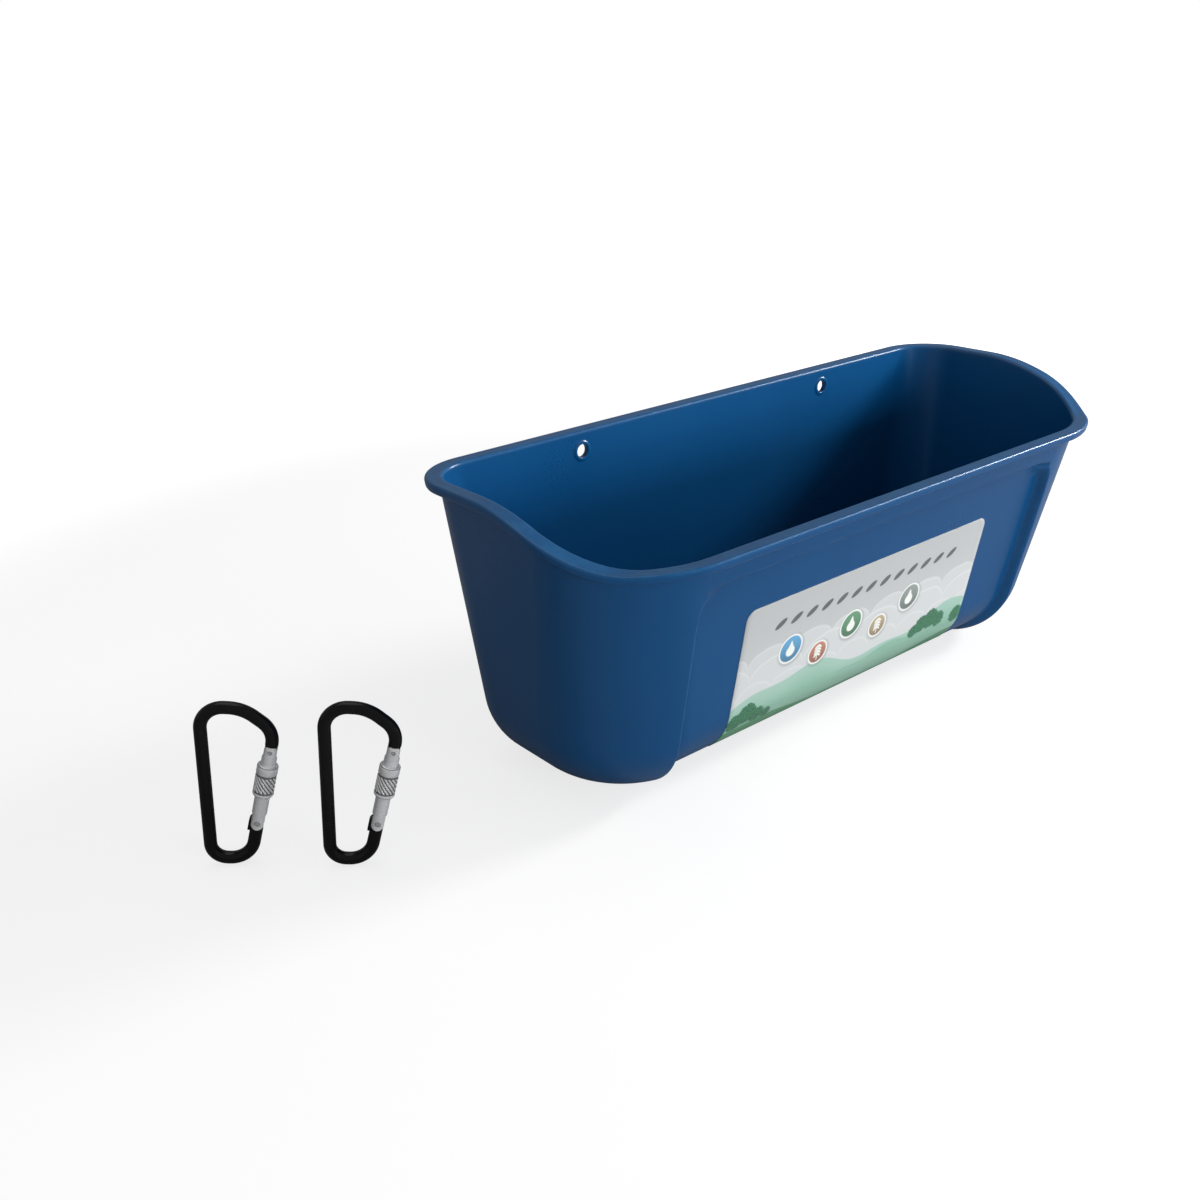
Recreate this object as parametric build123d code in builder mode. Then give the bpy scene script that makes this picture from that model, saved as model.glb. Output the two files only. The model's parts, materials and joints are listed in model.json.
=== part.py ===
from build123d import *
import math
import os

# Hanging feed trough with two screw-lock carabiners, in millimetres.
# The origin is the centre of the tub's base, +Z is up, X runs along the tub's length and
# the long front wall with the label faces -Y.

# Tub
rim_height_back = 140.0
rim_height_front = 122.0
base_length = 306.0
mouth_length = 340.0
base_depth = 98.0
mouth_depth = 128.0
back_lean = 2.6
wall = 2.4
base_rounding = 32.0
front_corner_base = 49.0
front_corner_mouth = 49.0
back_corner_base = 26.0
back_corner_mouth = 23.0
tightest_corner = 4.0

# Rim: a flat flange that follows the rim line and turns down at its outer edge
flange_width = 5.8
flange_thickness = 2.0
lip_thickness = 1.8
lip_drop = 3.8
lip_rounding = 1.4
step_front = 12.0
step_front_pull = 15.0
step_back = 84.0
step_back_pull = 36.0

# Recessed panel in the front wall
panel_half_length = 122.0
panel_top = 109.0
panel_corner = 15.0
panel_depth = 5.2
panel_draft = 8.0

# Label on the panel
label_length = 166.0
label_top = 85.0
label_corner = 5.0
label_thickness = 0.4
label_foot = 10.0
label_shift = -2.5

# Hanging holes in the back wall
hole_diameter = 6.2
hole_spacing = 165.0
hole_below_rim = 9.5
hole_ring_width = 1.6
hole_ring_height = 0.5

# Carabiner
rod_diameter = 5.2
carabiner_length = 74.0
spine_top_x = 1.9
spine_foot_x = 6.8
crown_x = 18.7
shoulder_height = 41.8
foot_rounding = 9.4
spine_foot_rounding = 6.8
spine_top_rounding = 9.0
crown_rounding = 16.0
shoulder_rounding = 10.2
carabiner_turn = -34.0
carabiner_lean = 8.2
carabiner_spots = {
    "1": (-278.0, 41.6),
    "2": (-242.2, 8.0),
}

# Gate of the carabiner, with all heights measured along its axis from the hinge pin
gate_diameter = 6.0
gate_tilt = 8.0
gate_foot = (25.0, 20.8)
gate_length = 35.0
hinge_pin_diameter = 2.4
nose_pin_diameter = 1.8
nose_pin_below_end = 1.9
pin_press = 0.01
pin_chamfer = 0.3
running_clearance = 0.05
tang_thickness = 2.6
side_clearance = 0.3
end_clearance = 0.4
tang_radius = 2.4
cam_offset = 1.1
notch_clearance = 0.4
nose_width = 4.6
nose_hook = 1.2

# Return mechanism inside the gate
spring_bore = 3.8
spring_bore_end = 17.0
plunger_clearance = 0.08
plunger_tip_radius = 1.5
plunger_shoulder = 5.0
plunger_end = 8.6
cam_gap = 0.15
spring_wire = 0.5
spring_radial_gap = 0.15
spring_turns = 6.0
spring_free_gap = 0.6

# Screw sleeve
sleeve_diameter = 8.4
sleeve_length = 14.2
sleeve_start = 12.4
sleeve_chamfer = 0.7
sleeve_groove_width = 0.8
sleeve_groove_depth = 0.4
sleeve_band = 1.4

# Worked-out places
eps = 1.0
base_front = -base_depth / 2
base_back = base_depth / 2
mouth_back = base_back + back_lean
mouth_front = mouth_back - mouth_depth
step_start = mouth_front + step_front
step_end = mouth_front + step_back
reach = mouth_length
hole_height = rim_height_back - hole_below_rim
ring_face = mouth_back - back_lean * hole_below_rim / rim_height_back - wall - hole_ring_height
slot_width = tang_thickness + 2 * side_clearance
cam_centre_height = math.sqrt(
    (tang_radius + plunger_tip_radius + cam_gap) ** 2 - cam_offset**2
)


def at_height(base_value, mouth_value, height):
    """Value that changes evenly from the base to the back rim's height."""
    return base_value + (mouth_value - base_value) * height / rim_height_back


def tub_outline(height, inset, narrowing):
    """Rounded outline of the tub at one height, set in from its outside faces."""
    gap = inset + narrowing
    length = at_height(base_length, mouth_length, height) - 2 * gap
    back = at_height(base_back, mouth_back, height) - gap
    front = at_height(base_front, mouth_front, height) + gap
    front_corner = max(at_height(front_corner_base, front_corner_mouth, height) - gap, tightest_corner)
    back_corner = max(at_height(back_corner_base, back_corner_mouth, height) - gap, tightest_corner)
    with BuildSketch(Plane.XY.offset(height)) as outline:
        with Locations((0, (front + back) / 2)):
            Rectangle(length, back - front)
        fillet(outline.vertices().group_by(Axis.Y)[0], front_corner)
        fillet(outline.vertices().group_by(Axis.Y)[-1], back_corner)
    return outline.sketch


def tub_form(inset, top):
    """Closed form of the tub up to the height top, set in from its outside faces."""
    rounding = base_rounding - inset
    with BuildPart() as form:
        for step in range(7):
            angle = math.radians(15 * step)
            height = inset + rounding * (1 - math.cos(angle))
            add(tub_outline(height, inset, rounding * (1 - math.sin(angle))))
        loft()
        add(tub_outline(base_rounding, inset, 0))
        add(tub_outline(top, inset, 0))
        loft(ruled=True)
    return form.part


def flange_form(outset):
    """Flared block round the mouth, which stands out from the wall by outset."""
    low = rim_height_front - 2 * lip_drop
    high = rim_height_back + 2 * lip_drop
    with BuildPart() as form:
        add(tub_outline(low, -outset, 0))
        add(tub_outline(high, -outset, 0))
        loft(ruled=True)
    return form.part


def rim_band(lower, upper):
    """Band along the tub that lies between two copies of the rim line."""
    front = mouth_front - 4 * flange_width
    back = mouth_back + 4 * flange_width
    low = rim_height_front
    high = rim_height_back
    with BuildPart() as band:
        with BuildSketch(Plane.YZ):
            with BuildLine():
                Line((front, low + upper), (step_start, low + upper))
                Bezier(
                    (step_start, low + upper),
                    (step_start + step_front_pull, low + upper),
                    (step_end - step_back_pull, high + upper),
                    (step_end, high + upper),
                )
                Line((step_end, high + upper), (back, high + upper))
                Line((back, high + upper), (back, high + lower))
                Line((back, high + lower), (step_end, high + lower))
                Bezier(
                    (step_end, high + lower),
                    (step_end - step_back_pull, high + lower),
                    (step_start + step_front_pull, low + lower),
                    (step_start, low + lower),
                )
                Line((step_start, low + lower), (front, low + lower))
                Line((front, low + lower), (front, low + upper))
            make_face()
        extrude(amount=reach, both=True)
    return band.part


def panel_block(margin):
    """Block in front of the tub that holds all of the recess, with drafted sides."""
    start = mouth_front - eps
    depth = base_front + base_rounding + margin - start
    half = panel_half_length + margin
    top = panel_top + margin
    with BuildPart() as block:
        with BuildSketch(Plane.XZ.offset(-start)) as outline:
            with Locations((0, top / 2 - base_rounding)):
                Rectangle(2 * half, top + 2 * base_rounding)
            fillet(outline.vertices().group_by(Axis.Y)[-1], panel_corner + margin)
        extrude(amount=-depth, taper=panel_draft)
    return block.part


def rim_lip(outset, thickness):
    """Ring between the flange's outer edge and a line set in from it by thickness."""
    with BuildPart() as ring:
        add(flange_form(outset))
        add(flange_form(outset - thickness), mode=Mode.SUBTRACT)
        add(rim_band(-lip_drop, -flange_thickness), mode=Mode.INTERSECT)
    return ring.part


# Tub with its rim
with BuildPart() as flange:
    add(flange_form(flange_width))
    add(rim_band(-flange_thickness, 0), mode=Mode.INTERSECT)
    tops = flange.faces().filter_by(lambda face: face.normal_at(face.center()).Z > 0.5)
    sides = flange.faces().filter_by(lambda face: abs(face.normal_at(face.center()).Z) < 0.5)
    side_edges = sides.edges()
    fillet(tops.edges().filter_by(lambda edge: any(edge.is_same(other) for other in side_edges)), lip_rounding)
    add(rim_lip(flange_width, lip_thickness))

with BuildPart() as sunk_front:
    add(tub_form(panel_depth, rim_height_back))
    add(panel_block(0), mode=Mode.INTERSECT)

with BuildPart() as sunk_cavity:
    add(tub_form(panel_depth + wall, rim_height_back))
    add(panel_block(wall), mode=Mode.INTERSECT)

with BuildPart() as cavity:
    add(tub_form(wall, rim_height_back + 2 * lip_drop))
    add(panel_block(wall), mode=Mode.SUBTRACT)
    add(sunk_cavity.part)

with BuildPart() as trough_tub:
    add(tub_form(0, rim_height_back + lip_drop))
    add(panel_block(0), mode=Mode.SUBTRACT)
    add(sunk_front.part)
    add(rim_band(0, 6 * lip_drop), mode=Mode.SUBTRACT)
    add(flange.part)
    add(cavity.part, mode=Mode.SUBTRACT)
    with BuildSketch(Plane.XZ.offset(-ring_face)):
        with Locations((0, hole_height)):
            with GridLocations(hole_spacing, 0, 2, 1):
                Circle(hole_diameter / 2 + hole_ring_width)
    extrude(amount=-(hole_ring_height + wall / 2))
    with BuildSketch(Plane.XZ.offset(-(ring_face - eps))):
        with Locations((0, hole_height)):
            with GridLocations(hole_spacing, 0, 2, 1):
                Circle(hole_diameter / 2)
    extrude(amount=-(hole_ring_height + wall + 2 * eps), mode=Mode.SUBTRACT)

# Label, a thin sheet that follows the recessed panel and turns under at the base
with BuildPart() as label_space:
    with BuildSketch(Plane.XZ.offset(-(mouth_front - eps))) as outline:
        with Locations((label_shift, (label_top + label_foot) / 2)):
            RectangleRounded(label_length, label_top - label_foot, label_corner)
    extrude(amount=-(mouth_depth / 2))

with BuildPart() as front_label:
    add(tub_form(panel_depth - label_thickness, rim_height_front))
    add(tub_form(panel_depth, rim_height_back), mode=Mode.SUBTRACT)
    add(label_space.part, mode=Mode.INTERSECT)

# Carabiner frame: a bent rod with a flat tang at the hinge and a notched nose
rod_radius = rod_diameter / 2
gate_radius = gate_diameter / 2
tilt = math.radians(gate_tilt)


def on_gate(height, aside=0.0):
    """Point in the carabiner's plane, at a height along the gate's axis and aside from it."""
    x = gate_foot[0] + height * math.sin(tilt) + aside * math.cos(tilt)
    y = gate_foot[1] + height * math.cos(tilt) - aside * math.sin(tilt)
    return (x, y)


gate_section = Plane(
    origin=(gate_foot[0], gate_foot[1], 0),
    x_dir=(math.cos(tilt), -math.sin(tilt), 0),
    z_dir=(math.sin(tilt), math.cos(tilt), 0),
)
gate_side = Plane(
    origin=(gate_foot[0], gate_foot[1], 0),
    x_dir=(math.cos(tilt), -math.sin(tilt), 0),
    z_dir=(0, 0, 1),
)
rod_low = -(gate_radius + end_clearance)
rod_high = gate_length + end_clearance
nose_pin_height = gate_length - nose_pin_below_end
foot_y = rod_radius
crown_y = carabiner_length - rod_radius
foot_corner_x = on_gate((foot_y - gate_foot[1]) / math.cos(tilt))[0]

with BuildPart() as carabiner_frame:
    with BuildLine() as centreline:
        FilletPolyline(
            on_gate(rod_low),
            (foot_corner_x, foot_y),
            (spine_foot_x, foot_y),
            (spine_top_x, crown_y),
            (crown_x, crown_y),
            on_gate(shoulder_height),
            on_gate(rod_high),
            radius=(
                foot_rounding,
                spine_foot_rounding,
                spine_top_rounding,
                crown_rounding,
                shoulder_rounding,
            ),
        )
    with BuildSketch(Plane(origin=centreline.line @ 0, z_dir=centreline.line % 0)):
        Circle(rod_radius)
    sweep()
    with BuildSketch(gate_side):
        with Locations((-cam_offset, 0)):
            Circle(tang_radius)
        with Locations((-cam_offset, (rod_low - eps) / 2)):
            Rectangle(2 * tang_radius, eps - rod_low)
    extrude(amount=tang_thickness / 2, both=True)
    with BuildSketch(gate_side) as nose:
        low = nose_pin_height - nose_pin_diameter / 2 - notch_clearance - nose_hook
        with Locations((0, (low + rod_high + eps) / 2)):
            Rectangle(nose_width, rod_high + eps - low)
        fillet(nose.vertices().group_by(Axis.Y)[0], nose_hook / 2)
    extrude(amount=tang_thickness / 2, both=True)
    with BuildSketch(gate_side):
        half = nose_pin_diameter / 2 + notch_clearance
        with Locations((0, nose_pin_height)):
            Circle(half)
        with Locations((-nose_width / 2, nose_pin_height)):
            Rectangle(nose_width, 2 * half)
    extrude(amount=tang_thickness, both=True, mode=Mode.SUBTRACT)
    with BuildSketch(gate_side):
        Circle(hinge_pin_diameter / 2 + pin_press)
    extrude(amount=tang_thickness, both=True, mode=Mode.SUBTRACT)

# Gate: a rod with a fork over the tang, a slot over the nose and a bore for its spring
fork_end = tang_radius + cam_offset + side_clearance
nose_slot_end = low - 2 * end_clearance
with BuildPart() as gate:
    with BuildSketch(gate_section.offset(-gate_radius)):
        Circle(gate_radius)
    extrude(amount=gate_radius + gate_length)
    chamfer(gate.edges().filter_by(GeomType.CIRCLE).sort_by(Axis.Y)[-1], sleeve_chamfer)
    with BuildSketch(gate_side):
        Circle(gate_radius)
        with Locations((0, (gate_length + eps) / 2)):
            Rectangle(gate_diameter + eps, gate_length + eps)
    extrude(amount=gate_diameter, both=True, mode=Mode.INTERSECT)
    with BuildSketch(gate_side):
        with Locations((0, (fork_end - gate_diameter) / 2)):
            Rectangle(2 * gate_diameter, fork_end + gate_diameter)
        with Locations((0, nose_slot_end + gate_length / 2)):
            Rectangle(2 * gate_diameter, gate_length)
    extrude(amount=slot_width / 2, both=True, mode=Mode.SUBTRACT)
    with BuildSketch(gate_section.offset(fork_end - eps)):
        Circle(spring_bore / 2)
    extrude(amount=spring_bore_end - fork_end + eps, mode=Mode.SUBTRACT)
    with BuildSketch(gate_side):
        Circle(hinge_pin_diameter / 2 + running_clearance)
        with Locations((0, nose_pin_height)):
            Circle(nose_pin_diameter / 2 + pin_press)
    extrude(amount=gate_diameter, both=True, mode=Mode.SUBTRACT)

# Hinge pin, held in the tang, and the cross pin that the nose hooks over, held in the gate
with BuildPart() as hinge_pin:
    with BuildSketch(gate_side):
        Circle(hinge_pin_diameter / 2)
    extrude(amount=gate_radius, both=True)
    chamfer(hinge_pin.edges().filter_by(GeomType.CIRCLE), pin_chamfer)

with BuildPart() as nose_pin:
    with BuildSketch(gate_side):
        with Locations((0, nose_pin_height)):
            Circle(nose_pin_diameter / 2)
    extrude(amount=gate_radius - pin_chamfer, both=True)
    chamfer(nose_pin.edges().filter_by(GeomType.CIRCLE), pin_chamfer)

# Plunger, which the tang's cam pushes up the bore as the gate swings in
plunger_radius = spring_bore / 2 - plunger_clearance
with BuildPart() as plunger:
    with BuildSketch(gate_side) as half_profile:
        with Locations((0, cam_centre_height)):
            Circle(plunger_tip_radius)
        with Locations((0, (cam_centre_height + plunger_shoulder) / 2)):
            Rectangle(2 * plunger_tip_radius, plunger_shoulder - cam_centre_height)
        with Locations((0, (plunger_shoulder + plunger_end) / 2)):
            Rectangle(2 * plunger_radius, plunger_end - plunger_shoulder)
        with Locations((-gate_diameter / 2, cam_centre_height)):
            Rectangle(gate_diameter, gate_length, mode=Mode.SUBTRACT)
    revolve(axis=Axis(origin=(gate_foot[0], gate_foot[1], 0), direction=(math.sin(tilt), math.cos(tilt), 0)))

# Coil spring between the plunger and the end of the bore
spring_low = plunger_end + spring_free_gap + spring_wire / 2
spring_high = spring_bore_end - spring_wire / 2
coil_radius = (spring_bore - spring_wire) / 2 - spring_radial_gap
with BuildPart() as gate_spring:
    with BuildLine() as coil:
        Helix(
            pitch=(spring_high - spring_low) / spring_turns,
            height=spring_high - spring_low,
            radius=coil_radius,
            center=on_gate(spring_low),
            direction=gate_section.z_dir,
        )
    coil_wire = coil.edges()[0]
    with BuildSketch(Plane(origin=coil_wire @ 0, z_dir=coil_wire % 0)):
        Circle(spring_wire / 2)
    sweep(is_frenet=True)

# Screw sleeve, which slides up over the nose to lock the gate
with BuildPart() as screw_sleeve:
    with BuildSketch(gate_section.offset(sleeve_start)):
        Circle(sleeve_diameter / 2)
    extrude(amount=sleeve_length)
    chamfer(screw_sleeve.edges().filter_by(GeomType.CIRCLE), sleeve_chamfer)
    for groove in (sleeve_band, sleeve_length - sleeve_band - sleeve_groove_width):
        with BuildSketch(gate_section.offset(sleeve_start + groove)):
            Circle(sleeve_diameter / 2 + eps)
            Circle(sleeve_diameter / 2 - sleeve_groove_depth, mode=Mode.SUBTRACT)
        extrude(amount=sleeve_groove_width, mode=Mode.SUBTRACT)
    with BuildSketch(gate_section.offset(sleeve_start - eps)):
        Circle(gate_radius + running_clearance)
    extrude(amount=sleeve_length + 2 * eps, mode=Mode.SUBTRACT)


def standing(spot):
    """Place of a carabiner that leans over on its rounded foot, turned about Z."""
    turn = math.radians(carabiner_turn)
    lean = math.radians(carabiner_lean)
    across = Vector(math.cos(turn), math.sin(turn), 0)
    facing = Vector(math.sin(turn), -math.cos(turn), 0)
    right = across * math.cos(lean) - Vector(0, 0, math.sin(lean))
    upright = across * math.sin(lean) + Vector(0, 0, math.cos(lean))
    foot_reach = foot_rounding + rod_radius
    foot_turn = (math.pi / 2 - tilt) / 2
    foot_centre = (foot_corner_x - foot_rounding * math.tan(foot_turn), foot_reach)
    origin = Vector(spot[0], spot[1], foot_reach) - right * foot_centre[0] - upright * foot_centre[1]
    return Location(Plane(origin=origin, x_dir=right, z_dir=facing))


carabiner_pieces = {
    "frame": carabiner_frame.part,
    "gate": gate.part,
    "hinge_pin": hinge_pin.part,
    "nose_pin": nose_pin.part,
    "plunger": plunger.part,
    "gate_spring": gate_spring.part,
    "screw_sleeve": screw_sleeve.part,
}

os.makedirs("parts", exist_ok=True)
trough_tub.part.label = "trough_tub"
export_step(trough_tub.part, "parts/trough_tub.step")
front_label.part.label = "front_label"
export_step(front_label.part, "parts/front_label.step")
for number, spot in carabiner_spots.items():
    for piece, shape in carabiner_pieces.items():
        placed = shape.moved(standing(spot))
        placed.label = f"carabiner_{number}_{piece}"
        export_step(placed, f"parts/{placed.label}.step")
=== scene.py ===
import json
import math

import bmesh
import bpy
import numpy as np
from bpy.props import FloatProperty, FloatVectorProperty, IntProperty, PointerProperty
from mathutils import Matrix, Vector


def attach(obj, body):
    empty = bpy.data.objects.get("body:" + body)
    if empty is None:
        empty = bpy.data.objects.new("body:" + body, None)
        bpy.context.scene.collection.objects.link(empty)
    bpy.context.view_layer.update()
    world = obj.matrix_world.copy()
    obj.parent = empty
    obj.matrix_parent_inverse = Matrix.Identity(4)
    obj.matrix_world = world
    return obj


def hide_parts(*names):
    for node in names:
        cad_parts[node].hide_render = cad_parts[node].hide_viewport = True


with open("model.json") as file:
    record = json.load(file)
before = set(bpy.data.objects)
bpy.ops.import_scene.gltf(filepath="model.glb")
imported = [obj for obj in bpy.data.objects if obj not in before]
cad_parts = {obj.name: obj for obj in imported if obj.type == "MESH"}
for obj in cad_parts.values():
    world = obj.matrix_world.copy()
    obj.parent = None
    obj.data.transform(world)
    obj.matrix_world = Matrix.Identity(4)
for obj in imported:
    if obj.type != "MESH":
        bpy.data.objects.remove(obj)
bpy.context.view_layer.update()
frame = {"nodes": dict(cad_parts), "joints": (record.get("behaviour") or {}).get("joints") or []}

bl_info = {
    "name": "Hanging Feed Trough",
    "version": (1, 0, 0),
    "blender": (4, 5, 0),
    "location": "View3D > Sidebar > Trough",
    "description": "Builds a blue hanging feed trough with a printed label and two screw-lock carabiners",
    "category": "Add Mesh",
}

JOINTS = {joint["name"]: joint for joint in frame["joints"]}
CARABINERS = ("carabiner_1", "carabiner_2")


def length(name, description, default):
    """A size in metres for a property group."""
    return FloatProperty(name=name, description=description, default=default, unit="LENGTH", precision=5)


def colour(name, description, default):
    """A linear colour for a property group."""
    return FloatVectorProperty(
        name=name, description=description, default=default, size=3, subtype="COLOR", min=0.0, max=1.0
    )


def angle(name, description, degrees):
    """An angle for a property group."""
    return FloatProperty(
        name=name, description=description, default=math.radians(degrees), subtype="ANGLE", unit="ROTATION"
    )


def number(name, description, default, unit="NONE"):
    """A plain number, or one with a unit, for a property group."""
    return FloatProperty(name=name, description=description, default=default, unit=unit)


class TroughTubSettings(bpy.types.PropertyGroup):
    """Sizes of the moulded tub."""

    back_height: length("Back height", "Height of the rim at the back", 0.140)
    front_height: length("Front height", "Height of the rim at the front", 0.122)
    base_length: length("Base length", "Length at the base", 0.306)
    mouth_length: length("Mouth length", "Length at the height of the back rim", 0.340)
    base_depth: length("Base depth", "Depth at the base", 0.098)
    mouth_depth: length("Mouth depth", "Depth at the height of the back rim", 0.128)
    back_lean: length("Back lean", "How far the back wall leans out", 0.0026)
    wall: length("Wall", "Thickness of the walls", 0.0024)
    base_rounding: length("Base rounding", "Radius between the walls and the base", 0.032)
    front_corner: length("Front corner", "Radius of the upright front corners", 0.049)
    back_corner_base: length("Back corner at the base", "Radius of the back corners at the base", 0.026)
    back_corner_mouth: length("Back corner at the mouth", "Radius of the back corners at the mouth", 0.023)
    tightest_corner: length("Tightest corner", "Smallest corner radius", 0.004)
    flange: length("Flange", "How far the rim stands out from the wall", 0.00572)
    flange_thickness: length("Flange thickness", "Thickness of the rim", 0.0020)
    lip: length("Lip", "Thickness of the lip at the rim's edge", 0.0018)
    lip_drop: length("Lip drop", "Height of the rim's outer edge", 0.0038)
    step_front: length("Step front", "Where the rim starts to rise, behind the front wall", 0.012)
    step_back: length("Step back", "Where the rim has risen, behind the front wall", 0.084)
    step_front_pull: length("Front pull", "How long the rim's rise stays low", 0.015)
    step_back_pull: length("Back pull", "How early the rim's rise levels out", 0.036)
    panel_half: length("Panel half length", "Half the length of the recessed panel", 0.122)
    panel_top: length("Panel top", "Height of the recessed panel's upper edge", 0.109)
    panel_corner: length("Panel corner", "Radius of the panel's upper corners", 0.015)
    panel_depth: length("Panel depth", "How deep the panel is sunk", 0.0052)
    panel_edge: length("Panel edge", "Width of the rounded step round the panel", 0.0024)
    panel_draft: angle("Panel draft", "Draft of the panel's edges", 8.0)
    hole_radius: length("Hole radius", "Radius of the hanging holes", 0.0031)
    hole_spacing: length("Hole spacing", "Distance between the hanging holes", 0.165)
    hole_below_rim: length("Hole below rim", "How far the holes lie under the rim", 0.0095)
    hole_ring: length("Hole ring", "Height of the bead round each hole", 0.0005)


class TroughLabelSettings(bpy.types.PropertyGroup):
    """Sizes of the printed label."""

    length: length("Length", "Length of the label", 0.166)
    top: length("Top", "Height of its upper edge", 0.085)
    shift: length("Shift", "How far it is stuck towards the end with the carabiners", 0.0025)
    foot: length("Foot", "Height of its lower edge, under the curve of the base", 0.010)
    corner: length("Corner", "Radius of its corners", 0.005)
    proud: length("Proud", "How far its face stands out from the panel", 0.00028)


class TroughCarabinerSettings(bpy.types.PropertyGroup):
    """Sizes of the screw sleeves of the carabiners."""

    sleeve_radius: length("Sleeve radius", "Radius over the sleeve's ridges", 0.0042)
    sleeve_bore: length("Sleeve bore", "Radius of the bore that slides on the gate", 0.00305)
    sleeve_start: length("Sleeve start", "Distance of the sleeve from the hinge pin", 0.0124)
    sleeve_length: length("Sleeve length", "Length of the sleeve", 0.0142)
    ridge_depth: length("Ridge depth", "Depth of the knurling", 0.00048)
    ridge_count: IntProperty(name="Ridges", description="Number of knurled ridges", default=15, min=6)


class TroughColourSettings(bpy.types.PropertyGroup):
    """Colours of the finishes."""

    plastic: colour("Plastic", "Blue plastic of the tub", (0.0022, 0.064, 0.192))
    # Colour of scuffed plastic, also used for the painted highlight on the rim's top and along the recess's
    # edges
    plastic_scuffed_and_lit: colour("Worn plastic", "Rubbed plastic on the rim and in scuffs", (0.014, 0.130, 0.300))
    sky: colour("Sky", "Upper part of the label", (0.52, 0.54, 0.545))
    cloud: colour("Cloud", "Cloud bands on the label", (0.72, 0.74, 0.745))
    far_hill: colour("Far hill", "Farthest hill on the label", (0.36, 0.55, 0.47))
    middle_hill: colour("Middle hill", "Middle hill on the label", (0.17, 0.40, 0.27))
    field: colour("Field", "Nearest field on the label", (0.085, 0.27, 0.13))
    bush: colour("Bush", "Bushes and grass on the label", (0.025, 0.115, 0.075))
    black: colour("Black", "Anodised frames of the carabiners", (0.0025, 0.0025, 0.003))
    silver: colour("Silver", "Gates and sleeves of the carabiners", (0.95, 0.955, 0.97))
    steel: colour("Steel", "Pins and plungers", (0.52, 0.52, 0.53))
    floor: colour("Floor", "Floor and backdrop", (0.31, 0.31, 0.313))


class TroughStageSettings(bpy.types.PropertyGroup):
    """Camera, lights and surroundings."""

    camera_place: FloatVectorProperty(
        name="Camera place", description="Where the camera stands", default=(-0.43595, -0.39474, 0.30174),
        size=3, unit="LENGTH", precision=5,
    )
    camera_turn: angle("Camera turn", "Turn of the view about the upright axis", -39.12)
    camera_pitch: angle("Camera pitch", "How far the view looks down", 23.486)
    camera_roll: angle("Camera roll", "Roll of the picture", 1.945)
    camera_lens: number("Lens", "Focal length on a 36 mm sensor", 38.314, "CAMERA")
    key_power: number("Key", "Power of the key light", 19.0, "POWER")
    front_power: number("Front", "Power of the low front light", 20.0, "POWER")
    fill_power: number("Fill", "Power of the light at the far end", 7.5, "POWER")
    side_power: number("Side", "Power of the light at the near end", 3.0, "POWER")
    top_power: number("Top", "Power of the light overhead", 2.5, "POWER")
    ambient: number("Ambient", "Strength of the light from all round", 0.20)
    reflected: number("Reflected", "Brightness of the surroundings in gloss", 0.25)


# Shapes

HOLE_ROWS = 10
HOLE_COLUMNS = 12
HOLE_BLOCK_HALF = 0.0075


def smooth(value):
    """Smoothstep: nought below 0, one above 1, and 3 v squared less 2 v cubed between."""
    value = np.clip(value, 0.0, 1.0)
    return value * value * (3.0 - 2.0 * value)


def put_mesh(name, points, quads, triangles=(), uv=None, attributes=None):
    """Makes a mesh object from whole arrays, leaves out unused points and turns every face outwards."""
    quads = np.asarray(quads, np.int64).reshape(-1, 4)
    triangles = np.asarray(triangles, np.int64).reshape(-1, 3)
    used, packed = np.unique(np.concatenate([quads.ravel(), triangles.ravel()]), return_inverse=True)
    points = np.asarray(points, float).reshape(-1, 3)[used]
    quads = packed[: quads.size].reshape(-1, 4)
    triangles = packed[quads.size :].reshape(-1, 3)
    mesh = bpy.data.meshes.new(name)
    mesh.from_pydata(points.tolist(), [], quads.tolist() + triangles.tolist())
    mesh.validate()
    for key, values in (attributes or {}).items():
        layer = mesh.attributes.new(key, "FLOAT", "POINT")
        layer.data.foreach_set("value", np.asarray(values, np.float32).ravel()[used])
    if uv is not None:
        corner = np.zeros(len(mesh.loops), np.int32)
        mesh.loops.foreach_get("vertex_index", corner)
        uv = np.asarray(uv, np.float32).reshape(-1, 2)[used][corner]
        mesh.uv_layers.new(name="surface").data.foreach_set("uv", uv.ravel())
    turned = bmesh.new()
    turned.from_mesh(mesh)
    bmesh.ops.recalc_face_normals(turned, faces=turned.faces)
    turned.to_mesh(mesh)
    turned.free()
    mesh.polygons.foreach_set("use_smooth", np.ones(len(mesh.polygons), bool))
    mesh.update()
    piece = bpy.data.objects.new(name, mesh)
    bpy.context.scene.collection.objects.link(piece)
    return piece


def grid_quads(rows, columns, closed_rows=False, closed_columns=True):
    """Quads of a grid of points numbered row by row, joined round its ends where it is closed."""
    last_row = rows if closed_rows else rows - 1
    last_column = columns if closed_columns else columns - 1
    row, column = np.meshgrid(np.arange(last_row), np.arange(last_column), indexing="ij")
    below, beside = (row + 1) % rows, (column + 1) % columns
    above, below = row * columns, below * columns
    return np.stack([above + column, above + beside, below + beside, below + column], -1).reshape(-1, 4)


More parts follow.
